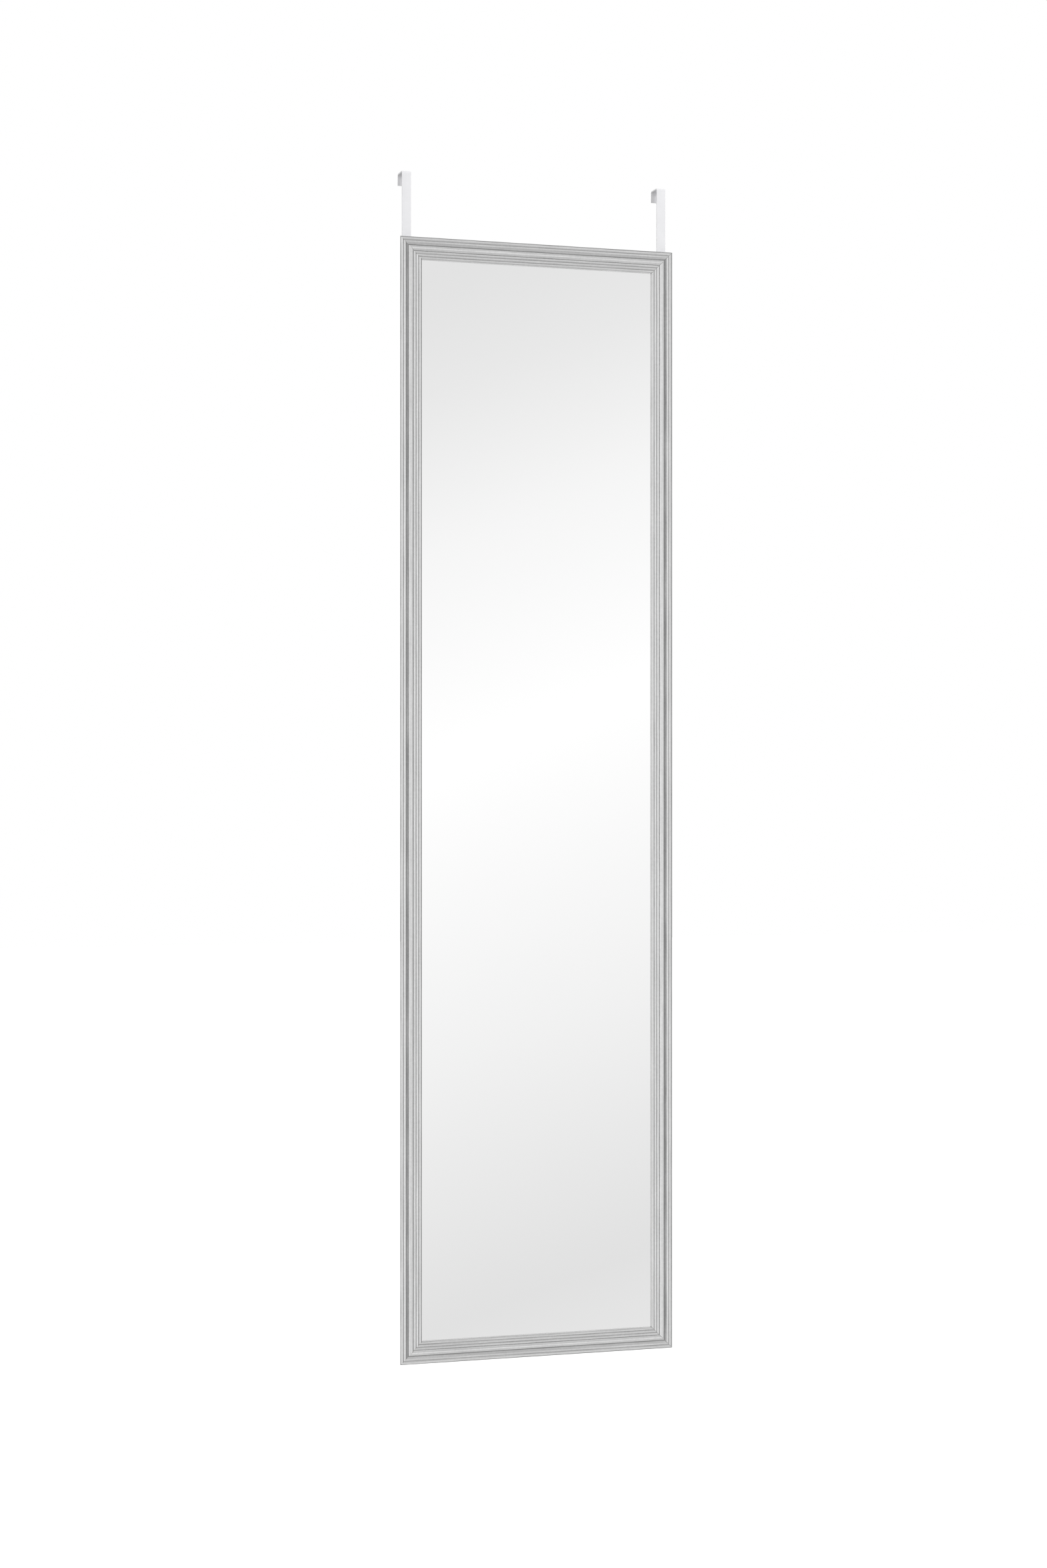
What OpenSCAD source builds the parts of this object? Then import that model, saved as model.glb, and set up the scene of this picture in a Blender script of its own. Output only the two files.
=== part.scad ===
// Over the door mirror: a tall framed mirror that hangs from the top edge of a door on two strip hooks.
// The front faces -Y and +Z is up. The origin lies on the top edge of the door, midway between the hooks:
// Z = 0 is the underside of the two bridges and Y = 0 is the face of the door, where the straps lie.
// The moulding's cross-section is drawn in u, inwards from the frame's outer edge, and v, forwards
// from the frame's back.

/* [Frame] */
// Outer width of the frame
frame_w = 310; // [200:1:600]
// Outer height of the frame
frame_h = 1210; // [600:1:1800]

/* [Moulding face, from the outer edge inwards] */
// Width of the outer edge before the first reed
edge_w = 0.8; // [0.5:0.1:2]
// Bevel on the outer corner
edge_bevel = 0.5; // [0.2:0.1:0.7]
// How far the outer side leans in towards the back
side_lean = 2.6; // [0:0.1:3]
// Reeds outside the cove
outer_reeds = 2; // [1:1:3]
// Pitch of the outer reeds
outer_pitch = 3; // [2.5:0.1:4]
// Width of the cove beside the crest
cove_w = 2.3; // [2.2:0.1:4]
// Depth of the cove below the ground of the outer reeds
cove_depth = 0.5; // [0.5:0.1:1]
// Narrow flat at each side of the cove and of the crest's dome
band_flat = 0.1; // [0.1:0.05:0.2]
// Width of the crest
crest_w = 5.7; // [4:0.1:8]
// Height of the crest's shoulders above the ground of the outer reeds
shoulder_h = 0.4; // [0.4:0.1:2]
// Rise of the crest's dome above its shoulders
crest_dome = 1.4; // [0.6:0.1:2]
// Reeds between the crest and the lip
inner_reeds = 3; // [2:1:4]
// Pitch of the inner reeds
inner_pitch = 3; // [2.5:0.1:4]
// Height of a reed above its ground
reed_rise = 0.9; // [0.6:0.1:1.2]
// Width of the groove between two reeds
reed_gap = 0.3; // [0.2:0.05:0.5]
// Width of the flat lip at the glass
lip_w = 0.4; // [0.4:0.1:3]
// How much lower the lip is than the outer edge
face_fall = 0.4; // [0:0.1:2]

/* [Rabbet and what it holds] */
// Thickness of the lip in front of the glass
lip_t = 2.1; // [1.2:0.1:4]
// How far the lip reaches over the glass
rabbet_w = 8; // [6:0.5:8]
// Thickness of the mirror glass
glass_t = 3; // [2:0.5:6]
// Bevel on the ground edges of the glass
glass_seam = 0.4; // [0.1:0.1:0.8]
// Thickness of the foam sheet behind the glass
sheet_t = 0.5; // [0.3:0.1:2]
// Thickness of the backing board
board_t = 2.5; // [2:0.5:5]
// How far the backing board lies below the back of the frame
board_inset = 1.5; // [1:0.1:4]
// Clearance between the sheets and the rabbet at each side
sheet_clear = 1; // [0.3:0.1:1.5]

/* [Retaining points] */
// Points along each stile
side_points = 5; // [3:1:8]
// Points along each of the top and bottom rails
end_points = 2; // [1:1:3]
// Length of a point
point_len = 15; // [12:0.5:20]
// Width of a point
point_w = 6; // [4:0.5:10]
// Thickness of a point
point_t = 0.5; // [0.3:0.1:0.8]
// How far a point is driven into the rabbet's wall
point_bite = 5; // [3:0.5:5]

/* [Corner nails] */
// Nails at each mitre
nails = 2; // [1:1:2]
// Distance of the outermost nail from the outer edges
nail_first = 6.5; // [5:0.5:7]
// Distance between two nails along each edge
nail_pitch = 5.5; // [3:0.5:6]
// Length of each leg of a nail
nail_leg = 5; // [3:0.5:6]
// Thickness of a nail
nail_t = 0.4; // [0.3:0.1:0.8]
// Depth that a nail is driven to
nail_h = 6.5; // [4:0.5:7]

/* [Hangers] */
// Thickness of the door that the hooks go over
door_t = 16; // [14:0.5:45]
// Play of the door in the hooks
door_clear = 0.5; // [0.2:0.1:2]
// Width of the steel strip
strap_w = 10; // [8:0.5:12]
// Thickness of the steel strip
strap_t = 1.5; // [1.2:0.1:3]
// Inside radius of the bends
bend_r = 1; // [0.5:0.1:3]
// Distance from the door's top edge down to the frame
hook_drop = 71; // [30:1:150]
// Height of the hook's back leg, with the bridge
leg_h = 12.6; // [10:0.1:40]
// Distance from the frame's outer edge to the strip
strap_edge = 4.5; // [3:0.5:5]
// Length of strip below its last screw
strap_end = 12; // [8:0.5:30]
// Radius on the strip's lower corners
strap_round = 2.5; // [1:0.5:4]

/* [Hanger screws] */
// Screws in each strip
screws = 2; // [1:1:3]
// Distance from the frame's top edge to the first screw
screw_first = 34; // [30:1:60]
// Distance between two screws
screw_pitch = 36; // [20:1:80]
// Length of a screw
screw_len = 8; // [6:0.5:9]
// Diameter of a screw
screw_d = 3; // [2.5:0.1:3.5]
// Diameter of a screw's countersunk head
head_d = 5.6; // [5:0.1:6.4]
// Height of the head's cone
head_h = 1.2; // [1:0.05:1.2]
// Length of a screw's point
screw_tip = 1.8; // [1:0.1:2.5]
// Width of the driver slots in the head
recess_w = 0.7; // [0.5:0.05:0.9]
// Length of the driver slots in the head
recess_len = 3; // [2:0.1:3.4]
// Depth of the driver slots in the head
recess_depth = 0.8; // [0.4:0.1:0.9]
// Radial clearance of the screws in the strip
screw_clear = 0.1; // [0.05:0.05:0.2]
// Radial clearance of the screws in the frame
pilot_clear = 0.05; // [0.02:0.01:0.1]

/* [Bumpers] */
// Diameter of a bumper
bumper_d = 10; // [6:0.5:12]
// Bevel on a bumper's free edge
bumper_bevel = 0.4; // [0.2:0.1:0.8]
// Height of the bumpers above the frame's bottom edge
bumper_rise = 30; // [20:1:100]

/* [Hidden] */
$fn = 64;

// Bands of the moulding's face, each from where the last one ends
cove_u = edge_w + outer_reeds * outer_pitch;
crest_u = cove_u + cove_w;
inner_u = crest_u + crest_w;
lip_u = inner_u + inner_reeds * inner_pitch;
rail_w = lip_u + lip_w;

// Levels of the moulding above the back of the frame
rabbet_d = board_inset + board_t + sheet_t + glass_t;
lip_h = rabbet_d + lip_t;
ground_h = lip_h + face_fall;
crest_h = ground_h + shoulder_h;
rabbet_u = rail_w - rabbet_w;

// How deep the crest's block is set into the ground
crest_root = 0.3;

// The frame in space
frame_top = -hook_drop;
frame_bottom = frame_top - frame_h;
back_y = -strap_t;
strap_u = strap_edge + strap_w / 2;
strap_x = frame_w / 2 - strap_u;

// The sheets stand on the rabbet of the bottom rail
sheet_w = frame_w - 2 * (rabbet_u + sheet_clear);
sheet_h = frame_h - 2 * (rabbet_u + sheet_clear);
sheet_bottom = frame_bottom + rabbet_u;

door_gap = door_t + door_clear;
strap_below = screw_first + (screws - 1) * screw_pitch + strap_end;
strap_bottom = frame_top - strap_below;
silver = "#bfc0c2";
white = "#ececee";
steel = "#a9abad";

// ---------------------------------------------------------------- moulding

// Radius of the arc with this chord and height
function arc_r(chord, height) = (pow(chord / 2, 2) + pow(height, 2)) / (2 * height);

// Radius of a reed at this pitch, and how much of the ground falls away towards the lip
function reed_r(pitch) = (pitch - reed_gap) / 2;
function inner_ground(u) = lip_h + face_fall * (lip_u - u) / (lip_u - inner_u);

module reed(u, ground, pitch) {
    translate([u, ground + reed_rise - reed_r(pitch)])
        circle(r = reed_r(pitch));
}

// The cove's arc meets the ground of the outer reeds at both sides. It is cut out of the ground before the crest
// and the reeds are added, so it cuts nothing beside its band.
module cove() {
    cove_r = arc_r(cove_w - 2 * band_flat, cove_depth);
    translate([cove_u + cove_w / 2, ground_h - cove_depth + cove_r])
        circle(r = cove_r);
}

// The crest is a block with a dome, the part of a circle that stands above its shoulders
module crest() {
    dome_r = arc_r(crest_w - 2 * band_flat, crest_dome);
    translate([crest_u, ground_h - crest_root])
        square([crest_w, crest_root + shoulder_h]);
    intersection() {
        translate([crest_u + crest_w / 2, crest_h + crest_dome - dome_r])
            circle(r = dome_r);
        translate([crest_u, crest_h - band_flat])
            square([crest_w, band_flat + 2 * crest_dome]);
    }
}

module moulding_ground() {
    polygon([
        [side_lean, 0],
        [rabbet_u, 0],
        [rabbet_u, rabbet_d],
        [rail_w, rabbet_d],
        [rail_w, lip_h],
        [lip_u, lip_h],
        [inner_u, ground_h],
        [edge_bevel, ground_h],
        [0, ground_h - edge_bevel]
    ]);
}

module moulding_profile() {
    difference() {
        moulding_ground();
        cove();
    }
    crest();
    for (i = [0 : outer_reeds - 1])
        reed(edge_w + (i + 0.5) * outer_pitch, ground_h, outer_pitch);
    for (i = [0 : inner_reeds - 1]) {
        reed_u = inner_u + (i + 0.5) * inner_pitch;
        reed(reed_u, inner_ground(reed_u), inner_pitch);
    }
}

// A length of moulding up +Z with its outer edge at X = 0 and its back at back_y, mitred at both ends
module mitred_moulding(length) {
    intersection() {
        translate([0, back_y, 0])
            linear_extrude(height = length)
                mirror([0, 1])
                    moulding_profile();
        rotate([90, 0, 0])
            linear_extrude(height = 4 * ground_h)
                polygon([[0, 0], [rail_w, rail_w], [rail_w, length - rail_w], [0, length]]);
    }
}

// Placed pieces: each is drawn once, for the left side or the top, and mirrored across the frame
module at_left() {
    translate([-frame_w / 2, 0, frame_bottom])
        children();
}

module at_top() {
    translate([-frame_w / 2, 0, frame_top])
        rotate([0, 90, 0])
            children();
}

module across() {
    mirror([1, 0, 0])
        children();
}

module upside_down() {
    frame_middle = (frame_top + frame_bottom) / 2;
    translate([0, 0, 2 * frame_middle])
        mirror([0, 0, 1])
            children();
}

module stile_body() {
    difference() {
        at_left() mitred_moulding(frame_h);
        left_points_shape();
        corner_nails_shape();
        upside_down() corner_nails_shape();
        pilot_holes();
    }
}

module rail_body() {
    difference() {
        at_top() mitred_moulding(frame_w);
        top_points_shape();
        corner_nails_shape();
        across() corner_nails_shape();
    }
}

module left_stile() {
    color(silver) stile_body();
}

module right_stile() {
    color(silver) across() stile_body();
}

module top_rail() {
    color(silver) rail_body();
}

module bottom_rail() {
    color(silver) upside_down() rail_body();
}

// ------------------------------------------------------- sheets in the rabbet

// A sheet that fills the rabbet but for its clearance, from v to v + thickness
module rabbet_sheet(v, thickness) {
    translate([-sheet_w / 2, back_y - v - thickness, sheet_bottom])
        cube([sheet_w, thickness, sheet_h]);
}

// The glass has a ground bevel along all its edges, front and back
module mirror_glass() {
    front = back_y - rabbet_d;
    color("#d5dadd")
        intersection() {
            rabbet_sheet(board_inset + board_t + sheet_t, glass_t);
            seamed_plate(sheet_w, sheet_h, front);
        }
}

// Two bevelled extrusions whose common part has every long edge taken off
module seamed_plate(w, h, front) {
    intersection() {
        translate([0, front, sheet_bottom])
            linear_extrude(height = h)
                seamed_section(w);
        translate([0, front, sheet_bottom + h / 2])
            rotate([0, 90, 0])
                linear_extrude(height = w, center = true)
                    seamed_section(h);
    }
}

module seamed_section(w) {
    polygon([
        [-w / 2, glass_seam],
        [-w / 2 + glass_seam, 0],
        [w / 2 - glass_seam, 0],
        [w / 2, glass_seam],
        [w / 2, glass_t - glass_seam],
        [w / 2 - glass_seam, glass_t],
        [-w / 2 + glass_seam, glass_t],
        [-w / 2, glass_t - glass_seam]
    ]);
}

module foam_sheet() {
    color("#e8e8e4") rabbet_sheet(board_inset + board_t, sheet_t);
}

module backing_board() {
    color("#8a6a4a") rabbet_sheet(board_inset, board_t);
}

// ------------------------------------------------------------ retaining points

// A flat point with its tip driven into the wall of the rabbet at X = rabbet_u, along Z = 0
module retaining_point() {
    tip = point_w / 2;
    translate([0, back_y - board_inset + point_t, 0])
        rotate([90, 0, 0])
            linear_extrude(height = point_t)
                polygon([
                    [rabbet_u - point_bite, 0],
                    [rabbet_u - point_bite + tip, -point_w / 2],
                    [rabbet_u - point_bite + point_len, -point_w / 2],
                    [rabbet_u - point_bite + point_len, point_w / 2],
                    [rabbet_u - point_bite + tip, point_w / 2]
                ]);
}

// Points are shared out evenly over the length of the opening
module point_row(count, length) {
    opening = length - 2 * rail_w;
    for (i = [0 : count - 1])
        translate([0, 0, rail_w + opening * (i + 0.5) / count])
            retaining_point();
}

module left_points_shape() {
    at_left() point_row(side_points, frame_h);
}

module top_points_shape() {
    at_top() point_row(end_points, frame_w);
}

module left_points() {
    color(steel) left_points_shape();
}

module right_points() {
    color(steel) across() left_points_shape();
}

module top_points() {
    color(steel) top_points_shape();
}

module bottom_points() {
    color(steel) upside_down() top_points_shape();
}

// ---------------------------------------------------------------- corner nails

// A nail is a right-angled wedge, flush with the back, with one leg in each of the two mouldings
module corner_nail() {
    translate([0, -nail_h, -nail_t])
        cube([nail_leg, nail_h, nail_t]);
    translate([0, -nail_h, -nail_leg])
        cube([nail_t, nail_h, nail_leg]);
}

// The nails of the top left corner
module corner_nails_shape() {
    for (i = [0 : nails - 1]) {
        inset = nail_first + i * nail_pitch;
        translate([-frame_w / 2 + inset, back_y, frame_top - inset])
            corner_nail();
    }
}

module top_left_nails() {
    color(steel) corner_nails_shape();
}

module top_right_nails() {
    color(steel) across() corner_nails_shape();
}

module bottom_left_nails() {
    color(steel) upside_down() corner_nails_shape();
}

module bottom_right_nails() {
    color(steel) across() upside_down() corner_nails_shape();
}

// --------------------------------------------------------------------- hangers

// A quarter bend of the strip, drawn in the first quadrant
module bend() {
    intersection() {
        difference() {
            circle(r = bend_r + strap_t);
            circle(r = bend_r);
        }
        square(bend_r + strap_t);
    }
}

// The strip from the side: up the door's face, over its top edge and down its back
module hanger_side() {
    inner = bend_r;
    outer = bend_r + strap_t;
    translate([-strap_t, strap_bottom])
        square([strap_t, -inner - strap_bottom]);
    translate([inner, -inner])
        mirror([1, 0])
            bend();
    translate([inner, 0])
        square([door_gap - 2 * inner, strap_t]);
    translate([door_gap - inner, -inner])
        bend();
    translate([door_gap, strap_t - leg_h])
        square([strap_t, leg_h - outer]);
}

// The strip from the front, with its lower corners rounded
module hanger_front() {
    low = strap_bottom + strap_round;
    translate([-strap_w / 2, low])
        square([strap_w, strap_t + 1 - low]);
    translate([strap_round - strap_w / 2, strap_bottom])
        square([strap_w - 2 * strap_round, 2 * strap_round]);
    for (side = [-1, 1])
        translate([side * (strap_w / 2 - strap_round), low])
            circle(r = strap_round);
}

module screw_places() {
    for (i = [0 : screws - 1])
        translate([-strap_x, 0, frame_top - screw_first - i * screw_pitch])
            rotate([90, 0, 0])
                children();
}

// Straight hole and countersink in the strip, from the face that lies against the door
module strap_hole() {
    translate([0, 0, -1])
        cylinder(h = strap_t + 2, d = screw_d + 2 * screw_clear);
    cylinder(h = head_h, d1 = head_d + 2 * screw_clear, d2 = screw_d + 2 * screw_clear);
}

module hanger_body() {
    difference() {
        translate([-strap_x, 0, 0])
            intersection() {
                rotate([90, 0, 90])
                    translate([0, 0, -strap_w / 2])
                        linear_extrude(height = strap_w)
                            hanger_side();
                translate([0, door_gap + 2 * strap_t, 0])
                    rotate([90, 0, 0])
                        linear_extrude(height = door_gap + 4 * strap_t)
                            hanger_front();
            }
        screw_places() strap_hole();
    }
}

module left_hanger() {
    color(white) hanger_body();
}

module right_hanger() {
    color(white) across() hanger_body();
}

// A countersunk screw from its head at Z = 0 up to its point
module hanger_screw() {
    difference() {
        union() {
            cylinder(h = head_h, d1 = head_d, d2 = screw_d);
            translate([0, 0, head_h])
                cylinder(h = screw_len - screw_tip - head_h, d = screw_d);
            translate([0, 0, screw_len - screw_tip])
                cylinder(h = screw_tip, d1 = screw_d, d2 = 0.4);
        }
        for (turn = [0, 90])
            rotate([0, 0, turn])
                translate([-recess_len / 2, -recess_w / 2, -1])
                    cube([recess_len, recess_w, recess_depth + 1]);
    }
}

module pilot_holes() {
    screw_places()
        cylinder(h = screw_len, d = screw_d + 2 * pilot_clear);
}

module left_hanger_screws() {
    color(steel) screw_places() hanger_screw();
}

module right_hanger_screws() {
    color(steel) across() screw_places() hanger_screw();
}

// --------------------------------------------------------------------- bumpers

// A round pad as thick as the strip, so that the mirror hangs flat against the door
module bumper_body() {
    translate([-strap_x, back_y, frame_bottom + bumper_rise])
        rotate([-90, 0, 0]) {
            cylinder(h = strap_t - bumper_bevel, d = bumper_d);
            translate([0, 0, strap_t - bumper_bevel])
                cylinder(h = bumper_bevel, d1 = bumper_d, d2 = bumper_d - 2 * bumper_bevel);
        }
}

module left_bumper() {
    color("#3a3a3c") bumper_body();
}

module right_bumper() {
    color("#3a3a3c") across() bumper_body();
}

top_rail();
bottom_rail();
left_stile();
right_stile();
mirror_glass();
foam_sheet();
backing_board();
left_points();
right_points();
top_points();
bottom_points();
top_left_nails();
top_right_nails();
bottom_left_nails();
bottom_right_nails();
left_hanger();
right_hanger();
left_hanger_screws();
right_hanger_screws();
left_bumper();
right_bumper();
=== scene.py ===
import math

import bpy
from mathutils import Matrix, Vector


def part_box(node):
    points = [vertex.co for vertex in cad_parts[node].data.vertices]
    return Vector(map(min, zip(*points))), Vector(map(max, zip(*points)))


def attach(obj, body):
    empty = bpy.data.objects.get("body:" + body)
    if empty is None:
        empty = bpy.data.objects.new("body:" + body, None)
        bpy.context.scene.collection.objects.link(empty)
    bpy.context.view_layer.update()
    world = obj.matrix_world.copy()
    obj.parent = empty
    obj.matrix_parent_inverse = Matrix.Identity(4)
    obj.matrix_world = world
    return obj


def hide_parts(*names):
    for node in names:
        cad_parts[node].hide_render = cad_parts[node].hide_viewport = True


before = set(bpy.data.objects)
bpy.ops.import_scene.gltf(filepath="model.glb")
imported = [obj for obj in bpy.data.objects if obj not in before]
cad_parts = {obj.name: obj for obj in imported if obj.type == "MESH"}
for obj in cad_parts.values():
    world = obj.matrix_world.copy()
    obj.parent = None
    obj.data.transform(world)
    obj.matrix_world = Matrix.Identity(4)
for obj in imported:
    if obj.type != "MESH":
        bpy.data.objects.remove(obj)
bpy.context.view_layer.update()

# The over the door mirror, dressed round its fixed frame: four lengths of reeded silver moulding, the glass,
# what lies behind it, and the two strip-steel hooks. All sizes are in metres.

MM = 0.001

# ---------------------------------------------------------------------- camera

# The photograph is taken level, from the left of the mirror, at about the middle of its height. The camera's
# place, turn and lens come from the frame's four corners in it.
camera_data = bpy.data.cameras.new("camera")
camera = bpy.data.objects.new("camera", camera_data)
bpy.context.scene.collection.objects.link(camera)
bpy.context.scene.camera = camera
camera.location = (-0.8836, -2.8148, -0.6632)
camera.rotation_euler = (math.radians(90), 0, math.radians(-17.179))
camera_data.lens = 62.027
camera_data.sensor_width = 36
camera_data.shift_y = 0.0029

bpy.context.scene.view_settings.view_transform = "Standard"

# ------------------------------------------------------------- sizes of the object

# What the frame gives
STILE_LOW, STILE_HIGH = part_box("left_stile")
GLASS_LOW, GLASS_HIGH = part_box("mirror_glass")
STRAP_LOW, STRAP_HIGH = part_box("left_hanger")
SCREWS_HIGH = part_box("left_hanger_screws")[1]
BUMPER_LOW, BUMPER_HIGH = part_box("left_bumper")
BOARD_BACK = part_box("backing_board")[1].y
FRAME_W = -2 * STILE_LOW.x
FRAME_H = STILE_HIGH.z - STILE_LOW.z
FRAME_MIDDLE = (STILE_HIGH.z + STILE_LOW.z) / 2
FRAME_BACK = STILE_HIGH.y
RAIL_W = STILE_HIGH.x - STILE_LOW.x
CREST_TOP = FRAME_BACK - STILE_LOW.y
RABBET_D = FRAME_BACK - GLASS_LOW.y
STRAP_T = STRAP_HIGH.z
STRAP_W = STRAP_HIGH.x - STRAP_LOW.x
STRAP_X = -(STRAP_HIGH.x + STRAP_LOW.x) / 2
DOOR_GAP = STRAP_HIGH.y - STRAP_T

# The moulding's bands, as in the frame, but for the 0.1 mm flats beside its cove and its crest's dome
SIDE_LEAN = 2.6 * MM
EDGE_BEVEL = 0.5 * MM
OUTER_REEDS = 2
OUTER_PITCH = 3 * MM
COVE_W = 2.3 * MM
COVE_DEPTH = 0.5 * MM
CREST_W = 5.7 * MM
SHOULDER_H = 0.4 * MM
CREST_DOME = 1.4 * MM
INNER_REEDS = 3
INNER_PITCH = 3 * MM
REED_RISE = 0.9 * MM
REED_GAP = 0.3 * MM
LIP_W = 0.4 * MM
FACE_FALL = 0.4 * MM
RABBET_W = 8 * MM

LIP_U = RAIL_W - LIP_W
INNER_U = LIP_U - INNER_REEDS * INNER_PITCH
CREST_U = INNER_U - CREST_W
COVE_U = CREST_U - COVE_W
EDGE_W = COVE_U - OUTER_REEDS * OUTER_PITCH
CREST_H = CREST_TOP - CREST_DOME
GROUND_H = CREST_H - SHOULDER_H
LIP_H = GROUND_H - FACE_FALL

# The shape of a reed's top: a power of 2 is round, and less is sharper
REED_POWER = 1.4
# A groove at the crest's inner foot takes this much off its width
CREST_GROOVE = 0.1 * MM
# The crest is highest towards the cove: its dome peaks where the way across, to this power, is a half
CREST_SKEW = 0.88
# The shoulder beside the cove leans inwards by this much on its way up
SHOULDER_LEAN = 0.2 * MM
# How much grey wash and painted shade lies where, from 0 to 1: a grey wash stays in the hollows, and painted
# shade darkens the reeds' feet, the grooves, the cove and the outer edge and side further. A cove has one at
# its outer and one at its inner side, and the coves of the two rails hold less painted shade on their outer
# side than the stiles' do.
REED_WASH_AND_SHADE = 0.6
STILE_COVE_WASH_AND_SHADE = (0.85, 1.0)
RAIL_COVE_WASH_AND_SHADE = (0.15, 1.0)
# The crest's painted shade, darkest at its cove side
CREST_PAINTED_SHADE = 0.2
GROOVE_WASH_AND_SHADE = 0.8
EDGE_WASH_AND_SHADE = 1.0
SIDE_WASH_AND_SHADE = (0.2, 0.8)
LIP_WASH_AND_SHADE = (0.1, 0.4)
# The foil rounds each corner of the moulding that makes a sharp turn. Each mitre stays a little open, with a
# chamfer along its edges.
FOIL_ROUND = 0.14 * MM
SHARP_TURN = math.radians(28)
MITRE_GAP = 0.04 * MM
MITRE_CHAMFER = 0.15 * MM
# The foil stops short of the back on the outer side, and the nails stand a little proud of the bare back
FOIL_EDGE = 0.9 * MM
NAIL_PROUD = 0.05 * MM
# How close to an edge of the section still counts as on it
ON_EDGE = 0.05 * MM

# The retaining points, as in the frame. Here their free ends bend up, and a rib is pressed into each. Where
# the bend and the rib begin is a share of the length.
SIDE_POINTS = 5
END_POINTS = 2
POINT_LEN = 15 * MM
POINT_W = 6 * MM
POINT_T = 0.5 * MM
POINT_BITE = 5 * MM
POINT_LIFT = 0.7 * MM
POINT_SOFT = 0.15 * MM
BEND_FROM = 0.55
RIB_FROM = 0.4
RIB_H = 0.4 * MM
RIB_W = 2.2 * MM

# The hooks and their screws, as in the frame. Here the strip's edges are eased as well.
LEG_H = 12.6 * MM
BEND_R = 1 * MM
STRAP_ROUND = 2.5 * MM
STRAP_EDGE_ROUND = 0.3 * MM
SCREW_PITCH = 36 * MM
HEAD_D = 5.6 * MM
HEAD_H = 1.2 * MM
SCREW_D = 3 * MM
SCREW_CLEAR = 0.1 * MM
SCREWS = 2

# The pads' soft rim, the small break at their foot, and how far their face is dished
RIM_ROUND = 0.55 * MM
PAD_FOOT = 0.1 * MM
PAD_DISH = 0.2 * MM


# ------------------------------------------------------------------ node helpers

def linear(code):
    """An sRGB hex colour as the linear RGBA that Blender's sockets take."""
    parts = [int(code[i:i + 2], 16) / 255 for i in (1, 3, 5)]
    return [p / 12.92 if p <= 0.04045 else ((p + 0.055) / 1.055) ** 2.4 for p in parts] + [1]


def add(tree, kind, inputs=None, stops=(), **settings):
    """Adds a node with its settings. Each input is a socket to link from, or a value to set. Stops, each a
    place from 0 to 1 and a colour, fill a colour ramp."""
    node = tree.nodes.new("ShaderNode" + kind)
    for name, value in settings.items():
        setattr(node, name, value)
    for i, (place, colour) in enumerate(stops):
        band = node.color_ramp.elements
        if i >= len(band):
            band.new(place)
        band[i].position = place
        band[i].color = colour
    for key, source in (inputs or {}).items():
        if isinstance(source, bpy.types.NodeSocket):
            tree.links.new(source, node.inputs[key])
        else:
            node.inputs[key].default_value = source
    return node


def new_material(name):
    """An empty material, its node tree and the object's own coordinates in it."""
    material = bpy.data.materials.new(name)
    material.use_nodes = True
    tree = material.node_tree
    tree.nodes.clear()
    return material, tree, add(tree, "TexCoord").outputs["Object"]


# ------------------------------------------------------------- world, lamps, floor

# The studio that the glass and the foil reflect. In front of the mirror there is a bright band, a little
# tilted, with darker wall above and below it. Each stop is an angle above the band, in degrees, and a level,
# and the rise lifts them all, in degrees.
BAND_AXIS = Vector((-0.335, -0.105, 0.936))
BAND_RISE = 1.2
FRONT_WALL = [
    (-90, 1.20), (-60, 0.60), (-35, 0.72), (-20, 0.95), (-11, 0.76), (-6, 0.89), (0, 1.02),
    (4.3, 0.93), (7.3, 0.82), (9.5, 0.77), (20, 0.95), (35, 0.60), (60, 0.80), (90, 0.73),
]
# To both sides of it stand evenly lit walls, and the right one ends in shade. Their axis is level, square to
# the way the band faces and to the right. A stop is a sine along it, and the walls' share or level there.
SIDE_AXIS = Vector((0.956, 0.292, 0))
SIDE_SHARE = [(-0.30, 1), (-0.07, 0), (0.07, 0), (0.30, 1)]
SIDE_LEVEL = [(-0.99, 1.10), (-0.85, 0.90), (0.78, 0.80), (0.80, 0.47)]

# The floor lies a door's height below the door's top edge
FLOOR_DROP = 2.0
FLOOR_SIZE = 40


def wall(tree, direction, axis, sines):
    """The level of a wall that changes along one axis of the studio, from stops of a sine and a level."""
    sine = add(tree, "VectorMath", {0: direction, 1: axis}, operation="DOT_PRODUCT").outputs["Value"]
    place = add(tree, "MapRange", {"Value": sine, "From Min": -1, "From Max": 1}).outputs[0]
    stops = [((at + 1) / 2, (level, level, level, 1)) for at, level in sines]
    return add(tree, "ValToRGB", {"Fac": place}, stops=stops).outputs[0]


def studio():
    """The world: lit walls for what the mirror reflects, and plain white where the camera looks past it."""
    world = bpy.data.worlds.new("studio")
    bpy.context.scene.world = world
    world.use_nodes = True
    tree = world.node_tree
    tree.nodes.clear()
    direction = add(tree, "TexCoord").outputs["Generated"]
    band = [(math.sin(math.radians(min(90, angle + BAND_RISE))), level) for angle, level in FRONT_WALL]
    front = wall(tree, direction, BAND_AXIS, band)
    share = wall(tree, direction, SIDE_AXIS, SIDE_SHARE)
    side = wall(tree, direction, SIDE_AXIS, SIDE_LEVEL)
    walls = add(tree, "Mix", {"Factor": share, "A": front, "B": side}, data_type="RGBA").outputs["Result"]
    lit = add(tree, "Background", {"Color": walls, "Strength": 1})
    white = add(tree, "Background", {"Color": (1, 1, 1, 1), "Strength": 1})
    seen = add(tree, "LightPath").outputs["Is Camera Ray"]
    sky = add(tree, "MixShader", {0: seen, 1: lit.outputs[0], 2: white.outputs[0]})
    add(tree, "OutputWorld", {"Surface": sky.outputs[0]})


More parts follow.
